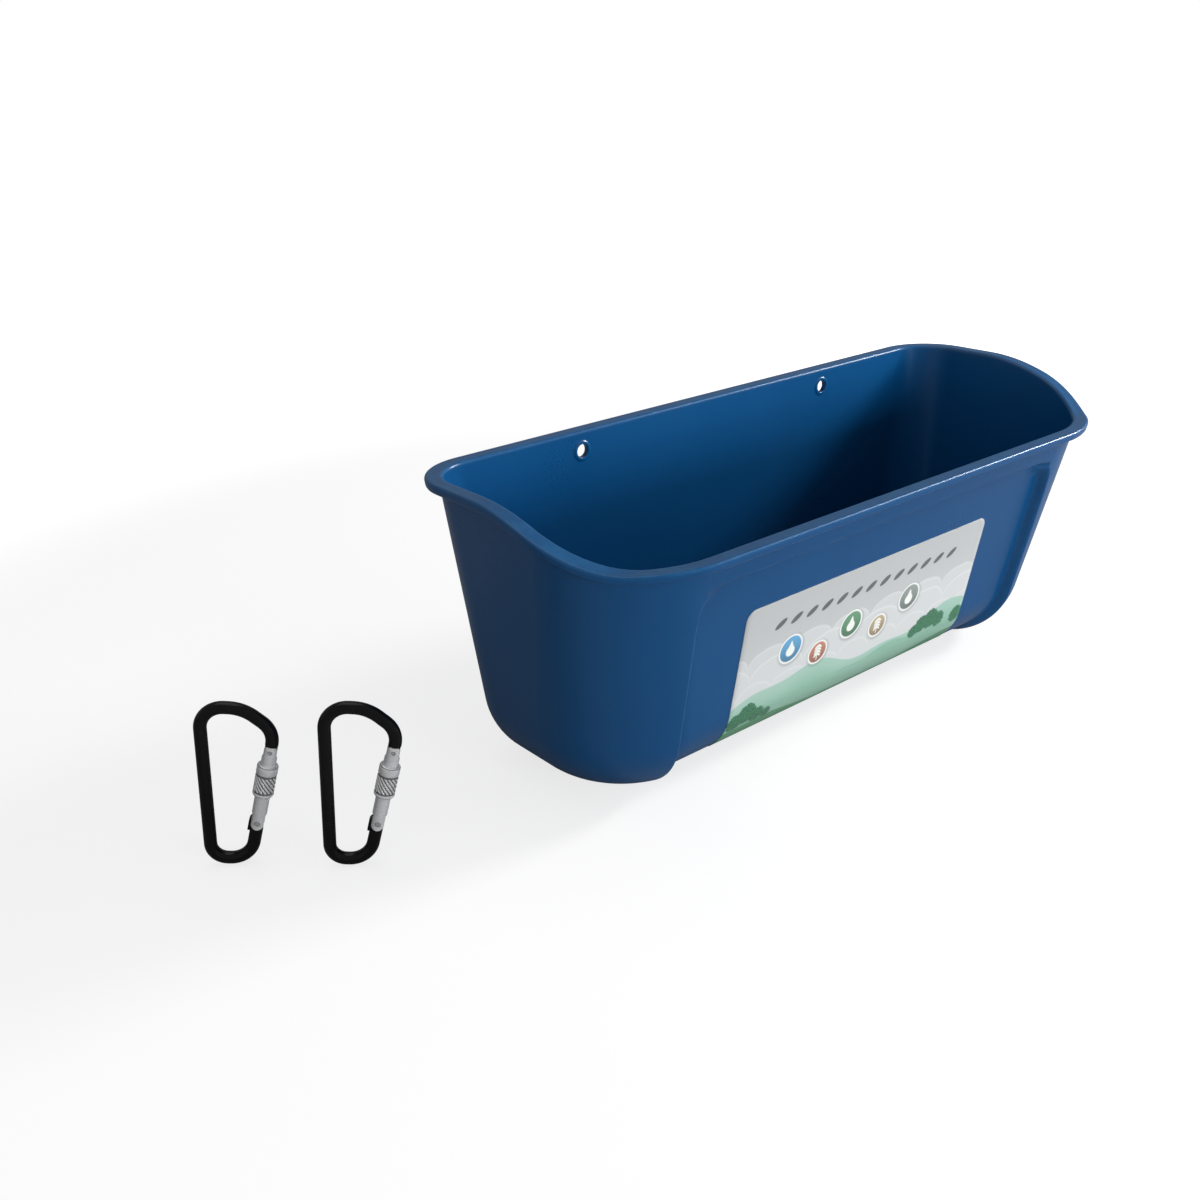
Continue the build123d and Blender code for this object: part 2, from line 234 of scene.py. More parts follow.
class TubShape:
    """Outline, rim line and recess of the tub, worked out from its settings."""

    def __init__(self, sizes):
        self.sizes = sizes
        self.front_base = -sizes.base_depth / 2
        self.back_base = sizes.base_depth / 2
        self.back_mouth = self.back_base + sizes.back_lean
        self.front_mouth = self.back_mouth - sizes.mouth_depth
        self.hole_height = sizes.back_height - sizes.hole_below_rim
        start = self.front_mouth + sizes.step_front
        end = self.front_mouth + sizes.step_back
        t = np.linspace(0.0, 1.0, 200)
        pulls = (start, start + sizes.step_front_pull, end - sizes.step_back_pull, end)
        weights = ((1 - t) ** 3, 3 * t * (1 - t) ** 2, 3 * t * t * (1 - t), t**3)
        self.rise_y = sum(pull * weight for pull, weight in zip(pulls, weights))
        rise = sizes.back_height - sizes.front_height
        self.rise_z = sizes.front_height + rise * (weights[2] + weights[3])

    def rim(self, y):
        """Height of the rim over a depth: a cubic curve from the low front to the high back."""
        return np.interp(y, self.rise_y, self.rise_z)

    def at(self, base, mouth, z):
        """A size at a height: a straight line in z from the base to the height of the back rim."""
        return base + (mouth - base) * z / self.sizes.back_height

    def front(self, z):
        """Depth of the front wall's outer face at a height."""
        return self.at(self.front_base, self.front_mouth, z)

    def back(self, z):
        """Depth of the back wall's outer face at a height."""
        return self.at(self.back_base, self.back_mouth, z)

    def half_length(self, z):
        """Half the length of the tub at a height."""
        return self.at(self.sizes.base_length, self.sizes.mouth_length, z) / 2

    def back_corner(self, z):
        """Radius of the back corners at a height."""
        return self.at(self.sizes.back_corner_base, self.sizes.back_corner_mouth, z)

    def outline(self, column, z, gap):
        """Points of a rounded rectangle set in by gap at the height z.

        Each column has its share across (-1 to 1), its share from front to back (0 to 1) and its
        normal. A point is the middle of its corner's arc, or a place between two of them, plus the
        corner radius times the normal."""
        across, along, normal_x, normal_y = column
        sizes = self.sizes
        front_radius = np.maximum(sizes.front_corner - gap, sizes.tightest_corner)
        back_radius = np.maximum(self.back_corner(z) - gap, sizes.tightest_corner)
        radius = front_radius + (back_radius - front_radius) * along
        x = across * (self.half_length(z) - gap - radius) + radius * normal_x
        front = self.front(z) + gap + front_radius
        back = self.back(z) - gap - back_radius
        y = front + (back - front) * along + radius * normal_y
        return x, y

    def recess(self, x, y, z, margin):
        """How far a point lies in the recess, from 0 outside to 1 on its floor.

        The distance inside a drafted rounded rectangle, cut off at the base's flat, goes through a
        smoothstep as wide as the panel's edge, and wider low down on the rounding."""
        sizes = self.sizes
        narrower = (y - self.front_mouth) * math.tan(sizes.panel_draft)
        beyond_x = np.abs(x) - (sizes.panel_half + margin - narrower - sizes.panel_corner)
        beyond_z = z - (sizes.panel_top + margin - narrower - sizes.panel_corner)
        outside = np.hypot(np.maximum(beyond_x, 0), np.maximum(beyond_z, 0))
        inside = sizes.panel_corner - outside - np.minimum(np.maximum(beyond_x, beyond_z), 0)
        end = self.front_base + sizes.base_rounding + margin
        low = smooth(1.0 - z / sizes.base_rounding)
        return smooth(np.minimum(inside / (1.0 + 2.0 * low), end - y) / sizes.panel_edge)

    def rounded(self, column, turn, inset):
        """Points of the rounding under the walls, at an angle from the base's flat, set in by inset."""
        sizes = self.sizes
        radius = sizes.base_rounding - inset
        z = inset + radius * (1 - math.cos(turn)) + 0 * column[0]
        x, y = self.outline(column, z, inset + radius * (1 - math.sin(turn)))
        deeper = inset + sizes.panel_depth * self.recess(x, y, z, inset)
        radius = sizes.base_rounding - deeper
        z = deeper + radius * (1 - math.cos(turn))
        x, y = self.outline(column, z, deeper + radius * (1 - math.sin(turn)))
        return np.stack([x, y, z], -1)

    def upright(self, column, z, inset):
        """Points of the walls at a height, set in by inset and by the recess."""
        x, y = self.outline(column, z, inset)
        x, y = self.outline(column, z, inset + self.sizes.panel_depth * self.recess(x, y, z, inset))
        return np.stack([x, y, z], -1)

    def flat(self, column, share, inset):
        """Points of the base, a ring of the rounding's foot drawn in towards the middle."""
        ring = self.rounded(column, 0.0, inset)
        x, y = ring[:, 0] * share, ring[:, 1] * share
        z = inset + self.sizes.panel_depth * self.recess(x, y, inset + 0 * x, inset)
        return np.stack([x, y, z], -1)

    def on_rim(self, column, outset, drop):
        """Points that stand out from the wall by outset and lie under the rim line by drop.

        A point's height and depth hang on each other, so they are found in a few rounds."""
        rounds = 5
        z = self.sizes.back_height + 0 * column[0]
        for _ in range(rounds):
            x, y = self.outline(column, z, -outset)
            z = self.rim(y) - drop
        return np.stack([x, y, z], -1)


def tub_columns(shape):
    """Columns of the tub's grid, counter-clockwise from the middle of the front, and the hole blocks.

    They are close together where the recess ends on the front corners and beside the holes."""
    spans = ((2.0, 26.0, 58), (27.2, 50.0, 19), (53.4, 86.6, 10))
    turn = np.radians(np.concatenate([[1.0], *[np.linspace(*span) for span in spans], [88.8]]))
    straight = shape.half_length(shape.hole_height) - shape.back_corner(shape.hole_height)
    middle = shape.sizes.hole_spacing / 2 / straight
    reach = HOLE_BLOCK_HALF / straight
    block = np.linspace(middle + reach, middle - reach, HOLE_COLUMNS + 1)
    beyond = np.linspace(1.0, block[0], 7)[:-1]
    back = np.concatenate([beyond, block, np.linspace(block[-1], 0.0, 9)[1:]])
    back_turn = np.radians(np.linspace(0.0, 90.0, 22))[1:-1]
    pieces = [
        (np.linspace(0.0, 1.0, 22), 0.0, 0.0, -1.0),
        (1.0, 0.0, np.sin(turn), -np.cos(turn)),
        (1.0, np.linspace(0.0, 1.0, 26), 1.0, 0.0),
        (1.0, 1.0, np.cos(back_turn), np.sin(back_turn)),
        (back, 1.0, 0.0, 1.0),
    ]
    pieces = [np.stack(np.broadcast_arrays(*[np.atleast_1d(value) for value in piece])) for piece in pieces]
    right = np.concatenate(pieces, 1)
    left = right[:, -2:0:-1] * np.array([[-1.0], [1.0], [-1.0], [1.0]])
    count = right.shape[1]
    first = count - len(back) + len(beyond)
    second = 2 * (count - 1) - (first + HOLE_COLUMNS)
    return np.concatenate([right, left], 1), (first, second)


def tub_surface(shape):
    """Rows of points of the tub's whole closed skin, their share of scuffing and painted highlight, and where
    the holes' blocks start.

    The rows go from the base's middle out, up the outside, over the rim and down the inside to the
    floor's middle. The share of scuffing and painted highlight is a bell curve of the depth under the
    rim line, which paints the rim's top lighter, partly as scuffing and partly as painted highlight,
    and on the outside it is the recess's share times what it leaves of one, a painted highlight that
    picks out the recess's edges."""
    sizes = shape.sizes
    column, blocks = tub_columns(shape)
    foot_turns = [0.0, 0.7, 1.4, 2.1, 2.9, 3.6, 4.3, 5.2, 6.6]
    turns = np.radians(np.concatenate([foot_turns, np.linspace(9.0, 90.0, 20)]))
    heights = sizes.panel_top + np.concatenate(
        [
            np.linspace(sizes.base_rounding + 0.004 - sizes.panel_top, -0.019, 10),
            np.linspace(-0.0174, -0.0062, 8),
            np.linspace(-0.0058, 0.0018, 21),
            [0.003],
        ]
    )
    shares = np.concatenate([[0.15, 0.3], np.linspace(0.43, 0.955, HOLE_ROWS + 1), [0.985]])
    flats = np.array([0.12, 0.25, 0.4, 0.55, 0.7, 0.8, 0.84, 0.86, 0.88, 0.9, 0.92, 0.94, 0.96, 0.98])

    def side(inset, top):
        """Rows of one skin, from the middle of the base to a height under the rim."""
        rows = [shape.flat(column, share, inset) for share in flats]
        rows += [shape.rounded(column, turn, inset) for turn in turns]
        rows += [shape.upright(column, height + 0 * column[0], inset) for height in heights]
        rows += [shape.upright(column, heights[-1] + (top - heights[-1]) * share, inset) for share in shares]
        return rows

    low, drop, edge = sizes.flange_thickness, sizes.lip_drop, sizes.flange
    lip = edge - sizes.lip
    rounding, crest = 0.0014, 0.0015
    outer = side(0.0, shape.on_rim(column, 0.0, low + 0.0006)[:, 2])
    inside = side(sizes.wall, shape.on_rim(column, -sizes.wall, crest + 0.0003)[:, 2])
    # The rim's section, as pairs of how far out from the wall and how far under the rim line
    profile = [(0.0, low + 0.0006), (0.00012, low + 0.0002), (0.0006, low), (0.0014, low)]
    profile += [(lip - 0.0008, low), (lip - 0.0003, low + 0.00005), (lip, low + 0.0004)]
    profile += [(lip, drop - 0.0004), (lip + 0.00015, drop - 0.0001), (lip + 0.0005, drop)]
    profile += [(edge - 0.0006, drop), (edge - 0.00018, drop - 0.00012)]
    profile += [(edge, drop - 0.0005), (edge, drop - 0.0009), (edge, rounding + 0.0003)]
    for turn in np.radians(np.linspace(0.0, 90.0, 7)):
        profile.append((edge - rounding * (1 - math.cos(turn)), rounding * (1 - math.sin(turn))))
    profile += [(edge - rounding - 0.0005, 0.0), (0.0022, 0.00008), (0.0008, 0.00006)]
    for turn in np.radians(np.linspace(90.0, 180.0, 7)):
        profile.append((crest * (1 + math.cos(turn)) - sizes.wall, crest * (1 - math.sin(turn))))
    rim = [shape.on_rim(column, outset, below) for outset, below in profile]
    rows = np.array(outer + rim + inside[::-1])
    scuff_and_highlight = np.zeros(rows.shape[:2])
    below = np.array(profile)[:, 1:]
    rim_peak_depth, rim_peak_reach = 0.0002, 0.0009
    # Scuffing and painted highlight on the rim's top: a bell curve of the depth under the rim line
    scuff_and_highlight[len(outer) : len(outer) + len(rim)] = np.exp(-(((below - rim_peak_depth) / rim_peak_reach) ** 2))
    x, y, z = np.moveaxis(rows[: len(outer)], -1, 0)
    # Painted highlight along the recess's edges on the front, shifted a little off them
    edge_highlight_shift = 0.0006
    sunk = shape.recess(x, y - edge_highlight_shift, z, 0.0)
    scuff_and_highlight[: len(outer)] = 3.0 * sunk * (1.0 - sunk) * (y < 0)
    return rows, scuff_and_highlight, blocks, len(outer) - 2 - HOLE_ROWS


def block_loop(first_row, first_column, row_step, columns):
    """Point numbers round the edge of a block of the grid, in one direction."""
    across, up = HOLE_COLUMNS, HOLE_ROWS
    row = [np.zeros(across), np.arange(up), np.full(across, up), np.arange(up, 0, -1)]
    column = [np.arange(across), np.full(up, across), np.arange(across, 0, -1), np.zeros(up)]
    row, column = np.concatenate(row), np.concatenate(column)
    return ((first_row + row_step * row) * columns + first_column + column).astype(np.int64)


def tub_mesh(sizes):
    """The tub's closed skin with its two hanging holes.

    Round each hole the grid's square block is left out. Rings of points go from the block's edge on
    the inside, over the bead, through the wall and out to the block's edge on the outside."""
    shape = TubShape(sizes)
    rows, scuff_and_highlight, blocks, hole_row = tub_surface(shape)
    count, columns = rows.shape[:2]
    points = rows.reshape(-1, 3)
    quads = grid_quads(count, columns)
    quad_row, quad_column = quads[:, 0] // columns, quads[:, 0] % columns
    inner_row = count - 1 - hole_row
    keep = np.ones(len(quads), bool)
    radius, bead = sizes.hole_radius, sizes.hole_ring
    # Each ring's radius, its height over the inside or its depth in the outside, and 1 for the outside
    rings = [
        (0.0055, 0.0, 0), (0.0050, 0.0, 0), (0.0048, bead * 0.3, 0), (0.0045, bead * 0.85, 0),
        (0.0042, bead, 0), (0.0036, bead, 0), (0.0033, bead * 0.85, 0), (radius + 0.00004, bead * 0.4, 0),
        (radius, 0.0, 0), (radius, 0.0004, 1), (radius + 0.0001, 0.0001, 1), (radius + 0.0004, 0.0, 1),
        (0.0046, 0.0, 1),
    ]
    added, new_quads = [], []
    total = len(points)
    for first_column, side in zip(blocks, (1.0, -1.0)):
        in_columns = (quad_column >= first_column) & (quad_column < first_column + HOLE_COLUMNS)
        keep &= ~(in_columns & (quad_row >= hole_row) & (quad_row < hole_row + HOLE_ROWS))
        keep &= ~(in_columns & (quad_row < inner_row) & (quad_row >= inner_row - HOLE_ROWS))
        outer_loop = block_loop(hole_row, first_column, 1, columns)
        inner_loop = block_loop(inner_row, first_column, -1, columns)
        middle = np.array([side * sizes.hole_spacing / 2, shape.hole_height])
        spokes = points[inner_loop][:, [0, 2]] - middle
        turn = np.arctan2(spokes[:, 1], spokes[:, 0])
        loops = [inner_loop]
        for ring_radius, offset, outside in rings:
            x = middle[0] + ring_radius * np.cos(turn)
            z = middle[1] + ring_radius * np.sin(turn)
            y = shape.back(z) - (1 - outside) * sizes.wall - offset
            added.append(np.stack([x, y, z], -1))
            loops.append(total + np.arange(len(turn)))
            total += len(turn)
        loops.append(outer_loop)
        loops = np.array(loops)
        beside = np.roll(loops, -1, 1)
        new_quads.append(np.stack([loops[:-1], beside[:-1], beside[1:], loops[1:]], -1).reshape(-1, 4))
    poles = np.array([[0.0, 0.0, 0.0], [0.0, 0.0, sizes.wall]])
    points = np.concatenate([points, *added, poles])
    fan = np.arange(columns)
    beside = (fan + 1) % columns
    last = (count - 1) * columns
    under = np.stack([np.full(columns, total), beside, fan], -1)
    within = np.stack([np.full(columns, total + 1), last + fan, last + beside], -1)
    triangles = np.concatenate([under, within])
    # Share of scuffing and painted highlight on the rim and the recess's edges; nought on the holes' new
    # points
    scuff_and_highlight = np.concatenate([scuff_and_highlight.ravel(), np.zeros(len(points) - scuff_and_highlight.size)])
    quads = np.concatenate([quads[keep], *new_quads])
    return put_mesh("trough_tub_skin", points, quads, triangles, attributes={"rim_wear": scuff_and_highlight})


def label_mesh(tub, label):
    """The label as a thin closed sheet on the recess's floor.

    Its rows follow the wall down and round the base's curve, and each row is as long as a rounded
    rectangle is there. The map holds the distance along and down the sheet, over its length."""
    shape = TubShape(tub)
    across = np.linspace(-1.0, 1.0, 61)
    rounding = 0.00012
    end_turn = math.acos(1 - (label.foot - tub.panel_depth) / (tub.base_rounding - tub.panel_depth))
    turns = np.linspace(math.pi / 2, end_turn, 26)[1:]
    walls = np.linspace(label.top, tub.base_rounding, 40)
    near = label.corner * (1 - np.cos(np.linspace(0, math.pi / 2, 10)))

    def sheet(inset):
        """Depth and height down the label's middle line, set in from the tub's face."""
        radius = tub.base_rounding - inset
        z = np.concatenate([walls, inset + radius * (1 - np.cos(turns))])
        gap = np.concatenate([inset + 0 * walls, inset + radius * (1 - np.sin(turns))])
        y = shape.front(z) + gap
        along = np.concatenate([[0.0], np.cumsum(np.hypot(np.diff(y), np.diff(z)))])
        return along, y, z

    total = sheet(tub.panel_depth - label.proud)[0][-1]
    between = np.linspace(label.corner, total - label.corner, 60)[1:-1]
    stops = np.sort(np.concatenate([near, between, total - near]))
    from_end = np.minimum(stops, total - stops)
    short = label.corner - np.minimum(from_end, label.corner)
    half = label.length / 2 - (label.corner - np.sqrt(np.maximum(label.corner**2 - short**2, 0)))
    layers, maps = [], []
    # The edge, the face and the back, each with how far it is trimmed all round
    for inset, trim in (
        (tub.panel_depth - label.proud * 0.55, 0.0),
        (tub.panel_depth - label.proud, rounding),
        (tub.panel_depth + rounding, 0.0),
    ):
        along, y, z = sheet(inset)
        place = np.clip(stops / total * along[-1], trim, along[-1] - trim)
        x = across * (half[:, None] - trim) - label.shift
        y, z = np.interp(place, along, y)[:, None], np.interp(place, along, z)[:, None]
        layers.append(np.stack(np.broadcast_arrays(x, y, z), -1))
        uv = np.stack(np.broadcast_arrays(x + label.shift, stops[:, None]), -1)
        maps.append(uv / label.length + [0.5, 0.0])
    rows, columns = layers[0].shape[:2]
    numbers = np.arange(rows * columns).reshape(rows, columns)
    edge = np.concatenate([numbers[0, :-1], numbers[:-1, -1], numbers[-1, :0:-1], numbers[:0:-1, 0]])
    size = rows * columns
    face = grid_quads(rows, columns, closed_columns=False)
    quads = [face + size, face[:, ::-1] + 2 * size]
    for upper, lower in ((1, 0), (0, 2)):
        top, bottom = edge + upper * size, edge + lower * size
        quads.append(np.stack([top, np.roll(top, -1), np.roll(bottom, -1), bottom], -1))
    return put_mesh("front_label_print", layers, np.concatenate(quads), uv=maps)


def sleeve_mesh(name, settings, origin, axis, side):
    """A knurled sleeve: a profile of radius and height turned about its axis.

    In the middle band the radius falls by the ridge depth times a rounded wave of the angle plus
    the height, which makes slanting ridges. Collars, grooves and the bore are plain. The attribute
    groove tells the finish how deep a point lies, and the finish paints shade into these valleys
    and grooves."""
    radius, bore, reach = settings.sleeve_radius, settings.sleeve_bore, settings.sleeve_length
    groove, slant, ridge_points, chamfer = 0.00035, 0.9, 12, 0.0003
    # How far under the radius, and how far from the sleeve's lower or upper end
    lower = ((0.0007, 0.0), (chamfer, 0.0002), (0.0, 0.0007), (0.0, 0.0013), (groove * 0.2, 0.0014))
    lower += ((groove, 0.0016), (groove, 0.0021), (groove * 0.6, 0.0023))
    upper = ((groove * 0.6, 0.0048), (groove, 0.0046), (groove, 0.0041), (groove * 0.2, 0.0039))
    upper += ((0.0, 0.0037), (0.0, 0.0020), (0.0, 0.0008), (0.0002, 0.0004), (0.0006, 0.0001), (0.0008, 0.0))
    # Distance from the axis, height along it, and 1 in the knurled band
    profile = [(bore + chamfer, 0.0, 0)] + [(radius - under, height, 0) for under, height in lower]
    profile += [(radius, height, 1) for height in np.linspace(0.0025, reach - 0.0050, 30)]
    profile += [(radius - under, reach - height, 0) for under, height in upper]
    profile += [(bore + chamfer, reach, 0), (bore, reach - chamfer, 0)]
    profile += [(bore, reach * share, 0) for share in (0.75, 0.5, 0.25)] + [(bore, chamfer, 0)]
    profile = np.array(profile)
    out, up, knurled = profile[:, 0:1], profile[:, 1:2], profile[:, 2:3]
    turn = np.linspace(0, 2 * math.pi, settings.ridge_count * ridge_points + 1)[:-1]
    wave = settings.ridge_count * (turn + up / radius * slant)
    valley = knurled * (0.5 - 0.5 * np.cos(wave)) ** 1.6
    out_now = out - settings.ridge_depth * valley
    other = np.cross(axis, side)
    points = origin + up[..., None] * axis
    points = points + (out_now * np.cos(turn))[..., None] * side + (out_now * np.sin(turn))[..., None] * other
    plain = (np.abs(out - radius + groove) < groove * 0.5) * (knurled == 0)
    quads = grid_quads(len(profile), len(turn), closed_rows=True)
    return put_mesh(name, points, quads, attributes={"groove": np.maximum(valley, 0.8 * plain)})


# Materials


def arithmetic(operation):
    """An operator and its reflected form, which both add a Math node."""
    return (
        lambda value, other: value.paint.math(operation, value, other),
        lambda value, other: value.paint.math(operation, other, value),
    )


class Value:
    """A number that changes over a surface, as a socket, with arithmetic on it."""

    def __init__(self, paint, socket):
        self.paint, self.socket = paint, socket

    __add__, __radd__ = arithmetic("ADD")
    __sub__, __rsub__ = arithmetic("SUBTRACT")
    __mul__, __rmul__ = arithmetic("MULTIPLY")
    __truediv__, __rtruediv__ = arithmetic("DIVIDE")
    __pow__, __rpow__ = arithmetic("POWER")


class Paint:
    """The nodes of a material or the world, with one method for any node and a few for the usual ones."""

    def __init__(self, owner, shader="Principled BSDF", **constants):
        owner.use_nodes = True
        self.owner, self.tree = owner, owner.node_tree
        self.shader = self.tree.nodes[shader]
        self.finish(**constants)

    def set(self, socket, value):
        """Links or sets one input."""
        value = value.socket if isinstance(value, Value) else value
        if isinstance(value, bpy.types.NodeSocket):
            self.tree.links.new(value, socket)
        elif socket.type == "RGBA":
            socket.default_value = (*tuple(value)[:3], 1.0)
        else:
            socket.default_value = value

    def node(self, kind, settings=None, inputs=None):
        """Adds a node, with its settings first and then the values or links of its inputs."""
        node = self.tree.nodes.new(kind)
        for key, value in (settings or {}).items():
            setattr(node, key, value)
        for key, value in (inputs or {}).items():
            self.set(node.inputs[key], value)
        return node

    def math(self, operation, *values):
        """A Math node on values and numbers."""
        node = self.node("ShaderNodeMath", {"operation": operation}, dict(enumerate(values)))
        return Value(self, node.outputs[0])

    def place(self):
        """Object coordinates in metres."""
        return self.node("ShaderNodeTexCoord").outputs["Object"]

    def split(self, vector):
        """The three values of a vector."""
        node = self.node("ShaderNodeSeparateXYZ", inputs={"Vector": vector})
        return [Value(self, node.outputs[axis]) for axis in range(3)]

    def join(self, x, y):
        """A flat vector of two values."""
        return self.node("ShaderNodeCombineXYZ", inputs={"X": x, "Y": y}).outputs[0]

    def stretch(self, vector, scale):
        """A vector times three numbers."""
        node = self.node("ShaderNodeVectorMath", {"operation": "MULTIPLY"}, {0: vector, 1: scale})
        return node.outputs[0]

    def noise(self, vector, scale, detail, roughness=0.5):
        """Cloudy noise from 0 to 1, at one scale or at one for each axis."""
        if isinstance(scale, tuple):
            vector, scale = self.stretch(vector, scale), 1.0
        inputs = {"Vector": vector, "Scale": scale, "Detail": detail, "Roughness": roughness}
        return Value(self, self.node("ShaderNodeTexNoise", inputs=inputs).outputs["Fac"])

    def cells(self, vector, scale):
        """Distance to the nearest of a scatter of points."""
        node = self.node("ShaderNodeTexVoronoi", inputs={"Vector": vector, "Scale": scale})
        return Value(self, node.outputs["Distance"])

    def ramp(self, value, low, high):
        """Nought at low, one at high and a smooth step between."""
        inputs = {"Value": value, "From Min": low, "From Max": high}
        node = self.node("ShaderNodeMapRange", {"interpolation_type": "SMOOTHSTEP"}, inputs)
        return Value(self, node.outputs["Result"])

    def mix(self, share, first, second):
        """A colour between two, by a share from 0 to 1."""
        node = self.node("ShaderNodeMix", {"data_type": "RGBA"})
        for socket, value in zip((node.inputs[0], node.inputs[6], node.inputs[7]), (share, first, second)):
            self.set(socket, value)
        return node.outputs[2]

    def attribute(self, name):
        """A value that the mesh carries."""
        return Value(self, self.node("ShaderNodeAttribute", {"attribute_name": name}).outputs["Fac"])

    def bump(self, height, distance):
        """A normal tipped by a height from 0 to 1 that stands for a distance in metres."""
        inputs = {"Height": height, "Distance": distance, "Strength": 1.0}
        return self.node("ShaderNodeBump", inputs=inputs).outputs[0]

    def finish(self, **sockets):
        """Feeds the shader and hands back the material or the world."""
        for socket, value in sockets.items():
            self.set(self.shader.inputs[socket.replace("_", " ").title().replace("Ior", "IOR")], value)
        return self.owner


def plastic_material(colours):
    """Satin moulded plastic with faint flow marks, fine texture and scuffs, with the rim's top painted
    lighter as scuffing and painted highlight, and a painted highlight along the recess's edges.
    """
    paint = Paint(bpy.data.materials.new("tub_plastic"), ior=1.45, coat_weight=0.06, coat_roughness=0.16)
    place = paint.place()
    cloud = paint.noise(place, 16.0, 2.0)
    flow = paint.noise(place, (26.0, 26.0, 5.0), 4.0, 0.55)
    grain = paint.noise(place, 1500.0, 2.0, 0.6)
    scratch = paint.noise(place, (30.0, 260.0, 420.0), 3.0, 0.65)
    scratch = paint.ramp(scratch, 0.66, 0.74) * paint.ramp(cloud, 0.45, 0.62)
    speck = 1.0 - paint.ramp(paint.cells(place, 210.0), 0.05, 0.11)
    speck = speck * paint.ramp(paint.noise(place, 60.0, 1.0), 0.58, 0.66)
    # The mesh's share of scuffing and painted highlight on the rim's top, and of painted highlight on the
    # recess's edges
    rim_scuff_and_highlight = paint.attribute("rim_wear")
    foot = 1.0 - paint.ramp(paint.split(place)[2], 0.0, 0.006)
    patchy = paint.ramp(paint.noise(place, 120.0, 4.0, 0.7), 0.42, 0.68)
    lighter = paint.math("MAXIMUM", rim_scuff_and_highlight * (0.16 + 0.26 * patchy), foot * patchy * 0.5)
    plastic = Vector(colours.plastic)
    tone = paint.mix((cloud - 0.5) * 0.5 + (flow - 0.5) * 0.5 + 0.5, plastic * 0.88, plastic * 1.14)
    # The rim's top and the recess's edges painted lighter as scuffing and painted highlight, and the foot as
    # scuffing
    tone = paint.mix(lighter, tone, colours.plastic_scuffed_and_lit)
    tone = paint.mix(scratch * 0.22 + speck * 0.10, tone, colours.plastic_scuffed_and_lit)
    height = grain * 0.10 + flow * 0.9 - scratch * 0.12
    rough = 0.30 + (cloud - 0.5) * 0.10 + (grain - 0.5) * 0.06 + scratch * 0.14 + lighter * 0.06
    return paint.finish(base_color=tone, roughness=rough, normal=paint.bump(height, 0.00012))


# The label's artwork, in millimetres across from its middle and down from its upper edge.
# Clouds: width, shift, line they stand on, share of their colour
CLOUDS = ((27.0, 3.1, 30.0, 0.55), (34.0, 7.7, 38.0, 0.6), (22.0, 1.3, 46.0, 0.5))
# Bushes: place across and down, radius
BUSHES = (
    (-78.0, 60.0, 5.2), (-71.5, 57.5, 6.0), (-64.5, 60.5, 4.6), (-58.0, 62.0, 3.2),
    (44.0, 54.0, 3.6), (50.0, 51.5, 5.0), (57.0, 50.5, 5.6), (64.0, 53.0, 4.4), (79.0, 55.0, 5.0),
)
# Signs: place across and down, radius, colour of the ground
SIGNS = (
    (-50.0, 30.0, 7.6, (0.09, 0.26, 0.43)), (-30.0, 39.0, 6.4, (0.36, 0.16, 0.11)),
    (-9.0, 31.0, 7.6, (0.10, 0.22, 0.13)), (12.0, 39.0, 6.4, (0.34, 0.27, 0.17)),
    (33.0, 30.0, 7.6, (0.20, 0.23, 0.22)),
)
# Row of leaves: distance between them, place down, and how far the row reaches to each side
LEAF_PITCH, LEAF_LINE, LEAF_REACH = 10.0, 13.5, 65.0
LEAF_INK, SHADOW_INK, PALE_DOTS = (0.075, 0.095, 0.09), (0.15, 0.18, 0.18), (0.9, 0.92, 0.92)
SIGN_RING, SIGN_MARK = (0.86, 0.87, 0.86), (0.84, 0.86, 0.82)


